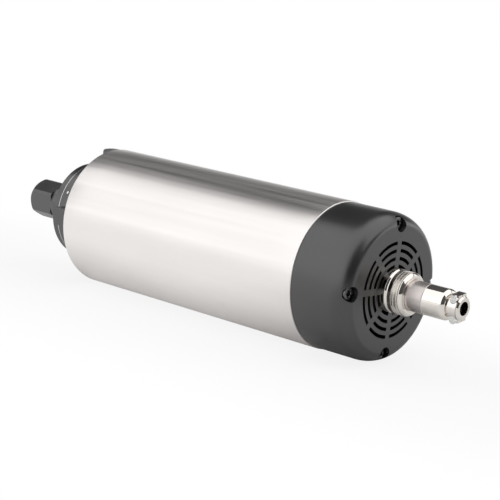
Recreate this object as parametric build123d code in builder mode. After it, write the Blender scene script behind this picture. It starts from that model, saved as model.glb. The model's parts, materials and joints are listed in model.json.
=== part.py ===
"""Air-cooled motor spindle: a slim electric motor that turns a cutting tool.

The axis is X. +X points to the rear, where the lead plugs in, and +Z is up.
The origin is on the axis, half way along the steel tube that a clamp grips.
All lengths are in millimetres.
"""

import os
from math import cos, radians, sin, tan

from build123d import *

# Steel tube
body_radius = 32.5
tube_wall = 1.25
edge_break = 0.4
quarter_turns = 4

# Gaps between pieces
light_fit = 0.05
run_gap = 0.35
end_gap = 0.3
face_gap = 0.2

# Finned core between the tube and the stator
stator_radius = 23.0
core_wall = 3.0
core_inset_front = 8.0
core_inset_rear = 18.0
rib_width = 8.2
fin_thickness = 1.2
fin_step = 15
screw_inset = 4.7

# Stator and rotor, with the room left in front of the stack and behind it
stack_length = 64.0
room_in_front = 28.0
room_behind = 22.0
rotor_radius = 13.0
air_gap = 0.4
tooth_tip = 1.4
back_iron = 2.6
slot_count = 12
slot_width = 4.2
slot_mouth = 1.6
slot_liner = 0.2
winding_overhang = 12.0
winding_round = 2.0
end_ring_length = 5.0
end_ring_step = 0.5

# Front housing: the black nose with its four ribs
nose_radius = 23.3
nose_length = 14.6
rib_reach = 7.2
rib_setback = 0.5
rib_chamfer = 0.8
bearing_lip = 2.4
spigot_length = 4.0
spigot_wall = 2.2

# Dowel pin let into the side of the nose
dowel_inset = 3.4
dowel_angle = 154.5
dowel_radius = 0.65
dowel_length = 5.0
dowel_sink = 0.1

# Front bearing cover
disc_setback = 0.6
disc_thickness = 4.4
disc_chamfer = 0.8
cover_spigot = 2.2
cover_spigot_wall = 2.2
cover_screw_length = 9.0
screw_sink = 0.3

# Ball bearings: bore, outside and width of the front pair and of the rear one
front_bore_radius = 7.5
front_outer_radius = 16.0
front_width = 9.0
front_balls = 9
rear_bore_radius = 6.0
rear_outer_radius = 14.0
rear_width = 8.0
rear_balls = 7
ball_radius = 2.38
ball_gap = 0.05
shoulder_height = 0.48
cage_thickness = 1.2
cage_rim = 0.7
pocket_gap = 0.15

# Shaft, from the nose to the fan
shaft_reach = 29.2
thread_radius = 7.0
thread_length = 13.7
thread_chamfer = 0.5
collar_step = 0.3
collar_length = 11.5
collar_chamfer = 0.2
shoulder_step = 2.0
lock_thread_step = 0.1
rotor_seat_step = 0.5
lock_thread_run = 0.8
fan_seat_radius = 4.0
shaft_step_run = 2.0
bore_depth = 28.0
bore_relief = 0.6
fan_thread_radius = 2.05
fan_thread_depth = 11.0

# Collet and its nut
collet_angle = 8.0
collet_wall = 1.25
collet_taper = 13.0
collet_tool_radius = 3.0
collet_slots = 4
collet_slot = 0.6
collet_web = 2.2
collet_set_out = 0.4
groove_start = 1.1
groove_depth = 0.85
nose_cone_length = 2.1
nose_cone_drop = 1.35
nut_overhang = 5.2
nut_length = 17.4
nut_wall = 1.5
nut_corner_height = 0.9
nut_face_radius = 6.6
nut_chamfer = 3.4
nut_rest_angle = 34.0
nut_lip = 0.8
taper_gap = 0.03
lip_gap = 0.1

# Wrench collar, dust ring and lock nut
wrench_collar_wall = 1.9
flat_depth = 1.2
flats_length = 6.0
flats_setback = 1.2
dust_hub = 1.6
dust_rim = 3.0
dust_ring_length = 3.4
dust_rim_length = 1.2
lock_nut_wall = 3.8
lock_nut_length = 4.6
lock_nut_room = 1.3
lock_slot_width = 3.2
lock_slot_depth = 1.5
lock_slot_length = 2.4

# Fan on the shaft's end
fan_radius = 22.0
fan_hub_radius = 7.0
fan_length = 14.0
fan_blades = 7
fan_pitch = 35.0
fan_root_twist = 22.0
fan_middle_twist = 6.0
fan_chord = 15.0
fan_thickness = 1.2
spacer_length = 6.0
washer_radius = 5.5
washer_thickness = 0.8
fan_screw_radius = 2.0
fan_screw_length = 10.0
fan_screw_head_radius = 3.5
fan_screw_head_height = 2.4
fan_screw_socket = 1.45

# Rear bearing plate and preload spring
plate_thickness = 5.0
plate_recess = 1.0
plate_hub_wall = 3.0
plate_lip = 1.2
plate_lip_height = 2.5
spring_height = 1.7
spring_thickness = 0.4
spring_width = 2.1

# Rear cover: domed edge, grille and screw posts
cover_length = 29.0
cover_setback = 0.4
cover_face = 3.2
cover_wall = 2.0
cover_round_long = 9.0
cover_round_deep = 5.2
cover_spigot_length = 5.0
cover_spigot_thickness = 1.6
post_radius = 4.4
counterbore_radius = 3.25
counterbore_depth = 6.2
grille_rings = 4
grille_outer_radius = 20.8
grille_pitch = 3.3
grille_slot = 1.5
grille_spoke = 2.7
grille_spokes = 8

# Fasteners: M3 screws
m3_hole = 1.6
m3_shank = 1.45
m3_head_radius = 2.75
m3_head_height = 3.0
m3_head_gap = 0.25
m3_head_chamfer = 0.3
m3_socket = 1.45
m3_flat_socket = 1.15
m3_flat_socket_depth = 1.1
screw_grip = 11.0

# Round connector: panel socket
connector_thread = 7.95
connector_hole_gap = 0.1
connector_bore = 6.5
thread_start = 0.3
flange_width = 1.05
flange_thickness = 1.4
socket_reach = 5.2
socket_inside = 9.5
insulator_inset = 1.0
insulator_rise = 0.6
pin_pitch = 3.2
pin_radius = 0.75
pin_tail = 2.0
pin_inset = 1.2
pin_round = 0.25
pin_count = 4
socket_nut_width = 1.25
socket_nut_length = 2.6

# Round connector: plug
plug_sleeve_gap = 0.15
plug_sleeve_wall = 1.05
plug_flange_gap = 0.25
plug_flange = 1.8
plug_insert_run = 3.0
plug_front_length = 9.8
barrel_radius = 6.6
barrel_wall = 1.0
barrel_lap = 4.0
barrel_rear_length = 11.0
barrel_end_radius = 4.8
barrel_round = 2.4
seam_chamfer = 0.15
insert_wall = 0.6
contact_wall = 0.55
contact_tail = 4.0
cable_radius = 2.95
neck_length = 0.9
tail_radius = 5.0
tail_chamfer = 0.7
tail_run = 0.9

# Cable clamp on the plug's tail
clamp_setback = 1.2
clamp_length = 3.6
clamp_tilt = 10.0
clamp_screw_height = 4.4
clamp_screw_radius = 0.95
clamp_head_radius = 1.7
clamp_head_height = 1.3
clamp_driver_slot = 0.5
lug_reach = 5.8
lug_depth = 2.8
halves_gap = 0.15

# Coupling ring
ring_wall = 1.25
ring_rim_height = 0.25
ring_rim_length = 0.5
ring_knurl_height = 0.1
ring_knurl_start = 3.3
ring_knurl_length = 3.3
ring_chamfer = 0.5
ring_lip = 1.3
ring_lip_gap = 0.12

# Places worked out from the sizes above: the tube and what is inside it
tube_length = core_inset_front + room_in_front + stack_length + room_behind + core_inset_rear
tube_front = -tube_length / 2
tube_rear = tube_length / 2
tube_bore = body_radius - tube_wall
fit_radius = tube_bore - light_fit
core_front = tube_front + core_inset_front
core_rear = tube_rear - core_inset_rear
core_radius = stator_radius + core_wall
screw_pitch_radius = body_radius - screw_inset
stack_front = core_front + room_in_front
stack_rear = stack_front + stack_length
slot_inner_radius = rotor_radius + air_gap + tooth_tip
slot_outer_radius = stator_radius - back_iron

# Places worked out: the nose, its bearings and the shaft
nose_front = tube_front - nose_length
rib_front = tube_front - rib_reach
rib_radius = body_radius - rib_setback
disc_radius = nose_radius - disc_setback
disc_front = nose_front - disc_thickness
cover_screw_pitch = (front_outer_radius + disc_radius) / 2
bearing_front = nose_front + cover_spigot
bearing_rear = bearing_front + 2 * front_width
collar_radius = thread_radius + collar_step
shoulder_radius = thread_radius + shoulder_step
lock_thread_radius = front_bore_radius - lock_thread_step
rotor_seat_radius = front_bore_radius - rotor_seat_step
nose_end = disc_front - shaft_reach
thread_end = nose_end + thread_length
collar_end = thread_end + collar_length
nut_front = nose_end - nut_overhang
nut_rear = nut_front + nut_length

# Places worked out: the rear bearing, the fan and the cover
plate_rear = core_rear + plate_thickness
rear_bearing_rear = plate_rear - plate_recess
rear_bearing_front = rear_bearing_rear - rear_width
spacer_front = rear_bearing_rear + shaft_step_run
fan_front = spacer_front + spacer_length
fan_rear = fan_front + fan_length
cover_radius = body_radius - cover_setback
cover_rear = tube_rear + cover_length
screw_seat = cover_rear - counterbore_depth

# Places worked out: the round connector
flange_radius = connector_thread + flange_width
socket_front = cover_rear - socket_inside
socket_end = cover_rear + flange_thickness + socket_reach
insulator_front = socket_front + insulator_inset
insulator_end = cover_rear + insulator_rise
pin_tip = socket_end - pin_inset
sleeve_radius = connector_bore - plug_sleeve_gap
sleeve_front = insulator_end + end_gap
plug_bore = sleeve_radius - plug_sleeve_wall
insert_bore = plug_bore - insert_wall
plug_flange_front = socket_end + end_gap
plug_flange_rear = plug_flange_front + plug_flange
insert_rear = plug_flange_rear + plug_insert_run
barrel_joint = plug_flange_rear + plug_front_length
barrel_end = barrel_joint + barrel_rear_length
clamp_start = barrel_end + clamp_setback
clamp_end = clamp_start + clamp_length
tail_end = clamp_end + tail_run
ring_start = cover_rear + flange_thickness + end_gap
ring_lip_front = plug_flange_rear + face_gap
ring_end = ring_lip_front + ring_lip
ring_bore = connector_thread + light_fit
ring_band_radius = ring_bore + ring_wall

parts_folder = "parts"
os.makedirs(parts_folder, exist_ok=True)


def across(x):
    """Plane square to the axis at x, facing the rear, with its own x along Y."""
    return Plane.YZ.offset(x)


def facing_front(x):
    """Plane square to the axis at x that faces the nose."""
    return Plane(origin=(x, 0, 0), x_dir=(0, 1, 0), z_dir=(-1, 0, 0))


def turned(*corners):
    """Face inside a closed outline of (x, radius) corners, ready to be turned."""
    with BuildSketch(Plane.XZ) as outline:
        with BuildLine():
            Polyline(*corners, close=True)
        make_face()
    return outline.sketch


def ring(x_start, x_end, inner, outer):
    """Face of a plain ring's section, from its two ends and its two radii."""
    return turned((x_start, inner), (x_end, inner), (x_end, outer), (x_start, outer))


def save(name, piece):
    """Label a finished piece and write it to its own file."""
    piece.part.label = name
    export_step(piece.part, f"{parts_folder}/{name}.step")


def cap_screws(seat, pitch_radius, first_angle, length):
    """Four socket head cap screws on a circle: seat is the plane under their heads."""
    top = seat.offset(m3_head_height)
    with BuildPart() as screws:
        with BuildSketch(seat):
            with PolarLocations(pitch_radius, quarter_turns, first_angle):
                Circle(m3_head_radius)
        extrude(amount=m3_head_height)
        rims = screws.edges().group_by(Axis.X)[-1 if seat.z_dir.X > 0 else 0]
        chamfer(rims, m3_head_chamfer)
        with BuildSketch(seat):
            with PolarLocations(pitch_radius, quarter_turns, first_angle):
                Circle(m3_shank)
        extrude(amount=-length)
        with BuildSketch(top):
            with PolarLocations(pitch_radius, quarter_turns, first_angle):
                RegularPolygon(m3_socket, 6)
        extrude(amount=-m3_head_height / 2, mode=Mode.SUBTRACT)
    return screws


def bearing_races(centres, bore, outer, width, pitch):
    """Outer and inner races of one or more ball bearings, each with its groove."""
    groove = ball_radius + ball_gap
    half = width / 2
    outer_shoulder = pitch + ball_radius - shoulder_height
    inner_shoulder = pitch - ball_radius + shoulder_height
    with BuildPart() as outer_races:
        for x in centres:
            revolve(ring(x - half, x + half, outer_shoulder, outer), axis=Axis.X)
            with Locations((x, 0, 0)):
                Torus(pitch, groove, rotation=(0, 90, 0), mode=Mode.SUBTRACT)
    with BuildPart() as inner_races:
        for x in centres:
            revolve(ring(x - half, x + half, bore, inner_shoulder), axis=Axis.X)
            with Locations((x, 0, 0)):
                Torus(pitch, groove, rotation=(0, 90, 0), mode=Mode.SUBTRACT)
    return outer_races, inner_races


def ball_set(centres, pitch, count):
    """The balls of one or more bearings, evenly spaced on their pitch circle."""
    with BuildPart() as balls:
        for x in centres:
            with Locations(across(x)):
                with PolarLocations(pitch, count):
                    Sphere(ball_radius)
    return balls


def cage_set(centres, pitch, count):
    """The cages that keep the balls apart: a band with a round pocket for each."""
    pocket = ball_radius + pocket_gap
    with BuildPart() as cages:
        for x in centres:
            half = pocket + cage_rim
            band = ring(x - half, x + half, pitch - cage_thickness / 2, pitch + cage_thickness / 2)
            revolve(band, axis=Axis.X)
            with Locations(across(x)):
                with PolarLocations(pitch, count):
                    Cylinder(pocket, 4 * cage_thickness, rotation=(0, 90, 0), mode=Mode.SUBTRACT)
    return cages


# Steel tube: the polished barrel that a spindle clamp grips
with BuildPart() as outer_tube:
    with BuildSketch(across(tube_front)):
        Circle(body_radius)
        Circle(tube_bore, mode=Mode.SUBTRACT)
    extrude(amount=tube_length)
    rims = outer_tube.edges().filter_by(GeomType.CIRCLE)
    chamfer(rims.filter_by(lambda rim: abs(rim.radius - body_radius) < 0.01), edge_break)
save("outer_tube", outer_tube)


# Finned core: holds the stator, and its fins carry the tube round the air channels
with BuildPart() as finned_core:
    with BuildSketch(across(core_front)):
        with PolarLocations(0, 180 // fin_step, 0, 180):
            Rectangle(2 * body_radius, fin_thickness)
        with PolarLocations(0, quarter_turns // 2, 0, 180):
            Rectangle(2 * body_radius, rib_width)
        Circle(fit_radius, mode=Mode.INTERSECT)
        Circle(core_radius)
        Circle(stator_radius, mode=Mode.SUBTRACT)
        with PolarLocations(screw_pitch_radius, quarter_turns):
            Circle(m3_shank + light_fit, mode=Mode.SUBTRACT)
    extrude(amount=core_rear - core_front)
save("finned_core", finned_core)


# Front housing: nose with the bearing seat, and four ribs that stop the tube
head_well = m3_head_height + face_gap
dowel_x = nose_front + dowel_inset
dowel_out = Vector(0, cos(radians(dowel_angle)), sin(radians(dowel_angle)))
dowel_mouth = Plane(
    origin=Vector(dowel_x, 0, 0) + dowel_out * nose_radius, x_dir=(1, 0, 0), z_dir=dowel_out,
)
with BuildPart() as front_housing:
    with BuildSketch(across(rib_front)):
        with PolarLocations(0, quarter_turns // 2, 0, 180):
            Rectangle(3 * body_radius, rib_width)
        Circle(rib_radius, mode=Mode.INTERSECT)
    extrude(amount=rib_reach)
    rib_tips = front_housing.faces().filter_by(GeomType.CYLINDER)
    tip_edges = rib_tips.edges().group_by(Axis.X)[0]
    chamfer(tip_edges, rib_chamfer)
    with BuildSketch(across(tube_front)):
        with PolarLocations(0, quarter_turns // 2, 0, 180):
            Rectangle(3 * body_radius, rib_width)
        Circle(fit_radius, mode=Mode.INTERSECT)
    extrude(amount=core_inset_front)
    revolve(turned(
        (nose_front, 0),
        (core_front, 0),
        (core_front, nose_radius),
        (nose_front + edge_break, nose_radius),
        (nose_front, nose_radius - edge_break),
    ), axis=Axis.X)
    spigot_radius = stator_radius - light_fit
    lip_bore_radius = lock_thread_radius + lock_nut_wall + lock_nut_room
    revolve(ring(core_front, core_front + spigot_length, 0, spigot_radius), axis=Axis.X)
    revolve(turned(
        (nose_front, 0),
        (nose_front, front_outer_radius),
        (bearing_rear, front_outer_radius),
        (bearing_rear, lip_bore_radius),
        (bearing_rear + bearing_lip, lip_bore_radius),
        (core_front, spigot_radius - 2 * spigot_wall),
        (core_front + spigot_length, spigot_radius - spigot_wall),
        (core_front + spigot_length, 0),
    ), axis=Axis.X, mode=Mode.SUBTRACT)
    with BuildSketch(across(rib_front)):
        with PolarLocations(screw_pitch_radius, quarter_turns):
            Circle(m3_hole)
    extrude(amount=core_front - rib_front, mode=Mode.SUBTRACT)
    with BuildSketch(across(rib_front)):
        with PolarLocations(screw_pitch_radius, quarter_turns):
            Circle(m3_head_radius + m3_head_gap)
    extrude(amount=head_well, mode=Mode.SUBTRACT)
    with BuildSketch(across(nose_front)):
        with PolarLocations(cover_screw_pitch, quarter_turns, 45):
            Circle(m3_shank + light_fit)
    extrude(amount=cover_screw_length, mode=Mode.SUBTRACT)
    with BuildSketch(dowel_mouth):
        Circle(dowel_radius)
    extrude(amount=-dowel_length, mode=Mode.SUBTRACT)
save("front_housing", front_housing)

with BuildPart() as dowel_pin:
    with BuildSketch(dowel_mouth.offset(-dowel_sink)):
        Circle(dowel_radius)
    extrude(amount=dowel_sink - dowel_length)
save("dowel_pin", dowel_pin)

front_seat = rib_front + head_well
front_screw_length = core_front - front_seat + screw_grip
housing_screws = cap_screws(facing_front(front_seat), screw_pitch_radius, 0, front_screw_length)
save("housing_screws", housing_screws)


# Front bearing cover: the disc that clamps the outer races of the bearing pair
screw_face = disc_front + screw_sink
countersink_radius = m3_head_radius + screw_sink + light_fit
with BuildPart() as bearing_cover:
    revolve(turned(
        (disc_front, shoulder_radius + run_gap),
        (disc_front, disc_radius - disc_chamfer),
        (disc_front + disc_chamfer, disc_radius),
        (nose_front - edge_break, disc_radius),
        (nose_front, disc_radius - edge_break),
        (nose_front, front_outer_radius - light_fit),
        (bearing_front, front_outer_radius - light_fit),
        (bearing_front, front_outer_radius - cover_spigot_wall),
        (nose_front, front_outer_radius - 1.5 * cover_spigot_wall),
        (nose_front, shoulder_radius + run_gap),
    ), axis=Axis.X)
    with Locations(facing_front(disc_front)):
        with PolarLocations(cover_screw_pitch, quarter_turns, 45):
            CounterSinkHole(m3_hole, countersink_radius, counter_sink_angle=90)
save("bearing_cover", bearing_cover)

with BuildPart() as cover_screws_front:
    with Locations(facing_front(screw_face)):
        with PolarLocations(cover_screw_pitch, quarter_turns, 45):
            Cone(
                m3_shank, m3_head_radius, m3_head_radius - m3_shank,
                align=(Align.CENTER, Align.CENTER, Align.MAX),
            )
            Cylinder(
                m3_shank, cover_screw_length,
                align=(Align.CENTER, Align.CENTER, Align.MAX),
            )
    with BuildSketch(facing_front(screw_face)):
        with PolarLocations(cover_screw_pitch, quarter_turns, 45):
            RegularPolygon(m3_flat_socket, 6)
    extrude(amount=-m3_flat_socket_depth, mode=Mode.SUBTRACT)
save("bearing_cover_screws", cover_screws_front)


# Front bearing pair
front_pitch = (front_bore_radius + front_outer_radius) / 2
front_centres = (bearing_front + front_width / 2, bearing_front + 1.5 * front_width)
front_outer_races, front_inner_races = bearing_races(
    front_centres, front_bore_radius, front_outer_radius, front_width, front_pitch,
)
save("front_outer_races", front_outer_races)
save("front_inner_races", front_inner_races)
save("front_balls", ball_set(front_centres, front_pitch, front_balls))
save("front_cages", cage_set(front_centres, front_pitch, front_balls))


# Rear bearing
rear_pitch = (rear_bore_radius + rear_outer_radius) / 2
rear_centres = (rear_bearing_front + rear_width / 2,)
rear_outer_race, rear_inner_race = bearing_races(
    rear_centres, rear_bore_radius, rear_outer_radius, rear_width, rear_pitch,
)
save("rear_outer_race", rear_outer_race)
save("rear_inner_race", rear_inner_race)
save("rear_balls", ball_set(rear_centres, rear_pitch, rear_balls))
save("rear_cage", cage_set(rear_centres, rear_pitch, rear_balls))


# Stator: stacked laminations with slots, and the copper winding in them
slot_middle = (slot_inner_radius + slot_outer_radius) / 2
slot_depth = slot_outer_radius - slot_inner_radius
with BuildPart() as stator_core:
    with BuildSketch(across(stack_front)):
        Circle(stator_radius)
        Circle(rotor_radius + air_gap, mode=Mode.SUBTRACT)
        with PolarLocations(slot_middle, slot_count):
            Rectangle(slot_depth, slot_width, mode=Mode.SUBTRACT)
        with PolarLocations(slot_inner_radius - tooth_tip / 2, slot_count):
            Rectangle(2 * tooth_tip, slot_mouth, mode=Mode.SUBTRACT)
    extrude(amount=stack_length)
save("stator_core", stator_core)

with BuildPart() as stator_winding:
    with BuildSketch(across(stack_front - 2)):
        with PolarLocations(slot_middle, slot_count):
            Rectangle(slot_depth - 2 * slot_liner, slot_width - 2 * slot_liner)
    extrude(amount=stack_length + 4)
    for inner_end, outer_end in (
        (stack_front - 1, stack_front - winding_overhang),
        (stack_rear + 1, stack_rear + winding_overhang),
    ):
        with BuildSketch(Plane.XZ):
            with Locations(((inner_end + outer_end) / 2, slot_middle + 2 * slot_liner)):
                RectangleRounded(
                    abs(outer_end - inner_end), slot_depth + 4 * slot_liner, winding_round,
                )
        revolve(axis=Axis.X)
save("stator_winding", stator_winding)


# Rotor: laminated cylinder with a cast ring at each end, pressed on the shaft
with BuildPart() as rotor_core:
    revolve(ring(stack_front, stack_rear, rotor_seat_radius, rotor_radius), axis=Axis.X)
save("rotor_core", rotor_core)

with BuildPart() as rotor_end_rings:
    ring_inner = rotor_seat_radius + end_gap
    for x_start in (stack_front - end_ring_length, stack_rear):
        x_stop = x_start + end_ring_length
        revolve(ring(x_start, x_stop, ring_inner, rotor_radius - end_ring_step), axis=Axis.X)
save("rotor_end_rings", rotor_end_rings)


# Shaft: taper for the collet in front, seats for bearings, rotor and fan
collet_big_radius = thread_radius - collet_wall
collet_seat = nose_end - collet_set_out
taper_slope = tan(radians(collet_angle))
collet_small_radius = collet_big_radius - collet_taper * taper_slope
taper_end = collet_seat + collet_taper
mouth_radius = collet_big_radius - (nose_end - collet_seat) * taper_slope + taper_gap
with BuildPart() as shaft:
    revolve(turned(
        (nose_end, 0),
        (nose_end, thread_radius - thread_chamfer),
        (nose_end + thread_chamfer, thread_radius),
        (thread_end, thread_radius),
        (thread_end, collar_radius - collar_chamfer),
        (thread_end + collar_chamfer, collar_radius),
        (collar_end, collar_radius),
        (collar_end, shoulder_radius),
        (bearing_front, shoulder_radius),
        (bearing_front, front_bore_radius),
        (bearing_rear, front_bore_radius),
        (bearing_rear, lock_thread_radius),
        (bearing_rear + lock_nut_length + lock_thread_run, lock_thread_radius),
        (bearing_rear + lock_nut_length + lock_thread_run, rotor_seat_radius),
        (rear_bearing_front, rotor_seat_radius),
        (rear_bearing_front, rear_bore_radius),
        (spacer_front, rear_bore_radius),
        (spacer_front, fan_seat_radius),
        (fan_rear - end_gap, fan_seat_radius),
        (fan_rear - end_gap, 0),
    ), axis=Axis.X)
    revolve(turned(
        (nose_end, 0),
        (nose_end, mouth_radius),
        (taper_end, collet_small_radius + taper_gap),
        (taper_end, collet_tool_radius + bore_relief),
        (nose_end + bore_depth, collet_tool_radius + bore_relief),
        (nose_end + bore_depth + collet_tool_radius / 2, 0),
    ), axis=Axis.X, mode=Mode.SUBTRACT)
    with BuildSketch(across(fan_rear - end_gap)):
        Circle(fan_thread_radius)
    extrude(amount=-fan_thread_depth, mode=Mode.SUBTRACT)
save("shaft", shaft)

with BuildPart() as wrench_collar:
    grip_front = thread_end + collar_chamfer
    grip_radius = collar_radius + wrench_collar_wall
    revolve(turned(
        (grip_front, collar_radius),
        (grip_front, grip_radius - edge_break),
        (grip_front + edge_break, grip_radius),
        (collar_end - edge_break, grip_radius),
        (collar_end, grip_radius - edge_break),
        (collar_end, collar_radius),
    ), axis=Axis.X)
    for side in (1, -1):
        with BuildSketch(across(collar_end - flats_setback)):
            with Locations((0, side * grip_radius)):
                Rectangle(4 * grip_radius, 2 * flat_depth)
        extrude(amount=-flats_length, mode=Mode.SUBTRACT)
save("wrench_collar", wrench_collar)

with BuildPart() as dust_ring:
    dust_front = collar_end + end_gap
    dust_rear = dust_front + dust_ring_length
    hub_radius = shoulder_radius + dust_hub
    rim_radius = shoulder_radius + dust_rim
    revolve(turned(
        (dust_front, shoulder_radius),
        (dust_front, hub_radius - edge_break),
        (dust_front + edge_break, hub_radius),
        (dust_rear - dust_rim_length - edge_break, hub_radius),
        (dust_rear - dust_rim_length, rim_radius),
        (dust_rear, rim_radius),
        (dust_rear, shoulder_radius),
    ), axis=Axis.X)
save("dust_ring", dust_ring)

with BuildPart() as lock_nut:
    lock_end = bearing_rear + lock_nut_length
    lock_nut_radius = lock_thread_radius + lock_nut_wall
    revolve(ring(bearing_rear, lock_end, lock_thread_radius, lock_nut_radius), axis=Axis.X)
    with BuildSketch(across(lock_end)):
        with PolarLocations(lock_nut_radius, quarter_turns):
            Rectangle(2 * lock_slot_depth, lock_slot_width)
    extrude(amount=-lock_slot_length, mode=Mode.SUBTRACT)
save("bearing_lock_nut", lock_nut)


# Collet: slotted from both ends in turn, so that it closes evenly on the tool
collet_rear = taper_end
collet_front = nut_front + nut_lip
groove_front = collet_seat - groove_start
cone_start = collet_front + nose_cone_length
with BuildPart() as collet:
    revolve(turned(
        (collet_front, collet_tool_radius),
        (collet_front, collet_big_radius - nose_cone_drop),
        (cone_start, collet_big_radius),
        (groove_front, collet_big_radius),
        (groove_front, collet_big_radius - groove_depth),
        (collet_seat, collet_big_radius - groove_depth),
        (collet_seat, collet_big_radius),
        (collet_rear, collet_small_radius),
        (collet_rear, collet_tool_radius),
    ), axis=Axis.X)
    slot_turn = 360 / (2 * collet_slots)
    collet_length = collet_rear - collet_front
    for x_start, first_angle, reach in (
        (collet_front, 0, collet_length - collet_web),
        (collet_rear, slot_turn, collet_web - collet_length),
    ):
        with BuildSketch(across(x_start)):
            with PolarLocations(collet_big_radius, collet_slots, first_angle):
                Rectangle(2 * collet_big_radius - 2, collet_slot)
        extrude(amount=reach, mode=Mode.SUBTRACT)
save("collet", collet)


# Collet nut: hexagon turned down at its corners, with the cone that shuts the collet
nut_flat_radius = thread_radius + nut_wall
nut_turned_radius = nut_flat_radius + nut_corner_height
nut_bore = thread_radius + light_fit
nut_groove_radius = collet_big_radius - groove_depth + end_gap
with BuildPart() as collet_nut:
    with BuildSketch(across(nut_front)):
        RegularPolygon(nut_flat_radius, 6, major_radius=False, rotation=nut_rest_angle)
    extrude(amount=nut_rear - nut_front)
    revolve(turned(
        (nut_front, 0),
        (nut_front, nut_face_radius),
        (nut_front + nut_chamfer, nut_turned_radius),
        (nut_rear - edge_break, nut_turned_radius),
        (nut_rear, nut_turned_radius - nut_corner_height),
        (nut_rear, 0),
    ), axis=Axis.X, mode=Mode.INTERSECT)
    revolve(turned(
        (nut_front, 0),
        (nut_front, collet_big_radius - nose_cone_drop + lip_gap),
        (collet_front, collet_big_radius - nose_cone_drop + lip_gap),
        (cone_start, collet_big_radius + lip_gap),
        (groove_front + lip_gap, collet_big_radius + lip_gap),
        (groove_front + lip_gap, nut_groove_radius),
        (collet_seat - lip_gap, nut_groove_radius),
        (collet_seat - lip_gap, nut_bore),
        (nut_rear, nut_bore),
        (nut_rear, 0),
    ), axis=Axis.X, mode=Mode.SUBTRACT)
save("collet_nut", collet_nut)


# Rear bearing plate: hub in the core's mouth, with four ears under the cover posts
with BuildPart() as bearing_plate:
    with BuildSketch(across(core_rear)):
        with PolarLocations(0, quarter_turns // 2, 0, 180):
            Rectangle(2 * body_radius, rib_width)
        Circle(fit_radius, mode=Mode.INTERSECT)
        Circle(core_radius)
        with PolarLocations(screw_pitch_radius, quarter_turns):
            Circle(m3_hole, mode=Mode.SUBTRACT)
    extrude(amount=plate_thickness)
    lip_front = rear_bearing_front - spring_height - plate_lip
    plate_hub_radius = rear_outer_radius + plate_hub_wall
    revolve(ring(lip_front, core_rear, 0, plate_hub_radius), axis=Axis.X)
    revolve(turned(
        (lip_front, 0),
        (lip_front, rear_outer_radius - plate_lip_height),
        (lip_front + plate_lip, rear_outer_radius - plate_lip_height),
        (lip_front + plate_lip, rear_outer_radius),
        (plate_rear, rear_outer_radius),
        (plate_rear, 0),
    ), axis=Axis.X, mode=Mode.SUBTRACT)
save("bearing_plate", bearing_plate)

with BuildPart() as preload_spring:
    spring_front = lip_front + plate_lip
    spring_outer = rear_outer_radius - lip_gap
    revolve(turned(
        (spring_front, spring_outer - spring_width),
        (spring_front + spring_thickness, spring_outer - spring_width),
        (rear_bearing_front, spring_outer),
        (rear_bearing_front - spring_thickness, spring_outer),
    ), axis=Axis.X)
save("preload_spring", preload_spring)


# Fan: twisted blades on a hub, clamped on the shaft's end by a screw and washer
with BuildPart() as fan_spacer:
    revolve(ring(spacer_front, fan_front, fan_seat_radius, rear_bore_radius), axis=Axis.X)
save("fan_spacer", fan_spacer)

fan_middle = (fan_front + fan_rear) / 2
with BuildPart() as fan_blade:
    for height, pitch, chord in (
        (fan_hub_radius - fan_thickness, fan_pitch + fan_root_twist, fan_chord * 0.75),
        ((fan_hub_radius + fan_radius) / 2, fan_pitch + fan_middle_twist, fan_chord * 0.9),
        (fan_radius, fan_pitch, fan_chord),
    ):
        with BuildSketch(Plane((fan_middle, 0, height), x_dir=(1, 0, 0), z_dir=(0, 0, 1))):
            Rectangle(chord, fan_thickness, rotation=90 - pitch)
    loft()

with BuildPart() as fan:
    revolve(ring(fan_front, fan_rear, fan_seat_radius, fan_hub_radius), axis=Axis.X)
    for blade in range(fan_blades):
        add(fan_blade.part.rotate(Axis.X, blade * 360 / fan_blades))
    revolve(ring(fan_front, fan_rear, fan_seat_radius, fan_radius), axis=Axis.X, mode=Mode.INTERSECT)
save("fan", fan)

washer_rear = fan_rear + washer_thickness
with BuildPart() as fan_washer:
    revolve(ring(fan_rear, washer_rear, fan_screw_radius + lip_gap, washer_radius), axis=Axis.X)
save("fan_washer", fan_washer)

with BuildPart() as fan_screw:
    head_top = washer_rear + fan_screw_head_height
    head_round = fan_screw_head_height / 4
    revolve(turned(
        (washer_rear - fan_screw_length, 0),
        (washer_rear - fan_screw_length, fan_screw_radius),
        (washer_rear, fan_screw_radius),
        (washer_rear, fan_screw_head_radius),
        (head_top - head_round, fan_screw_head_radius),
        (head_top, fan_screw_head_radius - head_round),
        (head_top, 0),
    ), axis=Axis.X)
    with BuildSketch(across(head_top)):
        RegularPolygon(fan_screw_socket, 6)
    extrude(amount=-fan_screw_head_height / 2, mode=Mode.SUBTRACT)
save("fan_screw", fan_screw)


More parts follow.
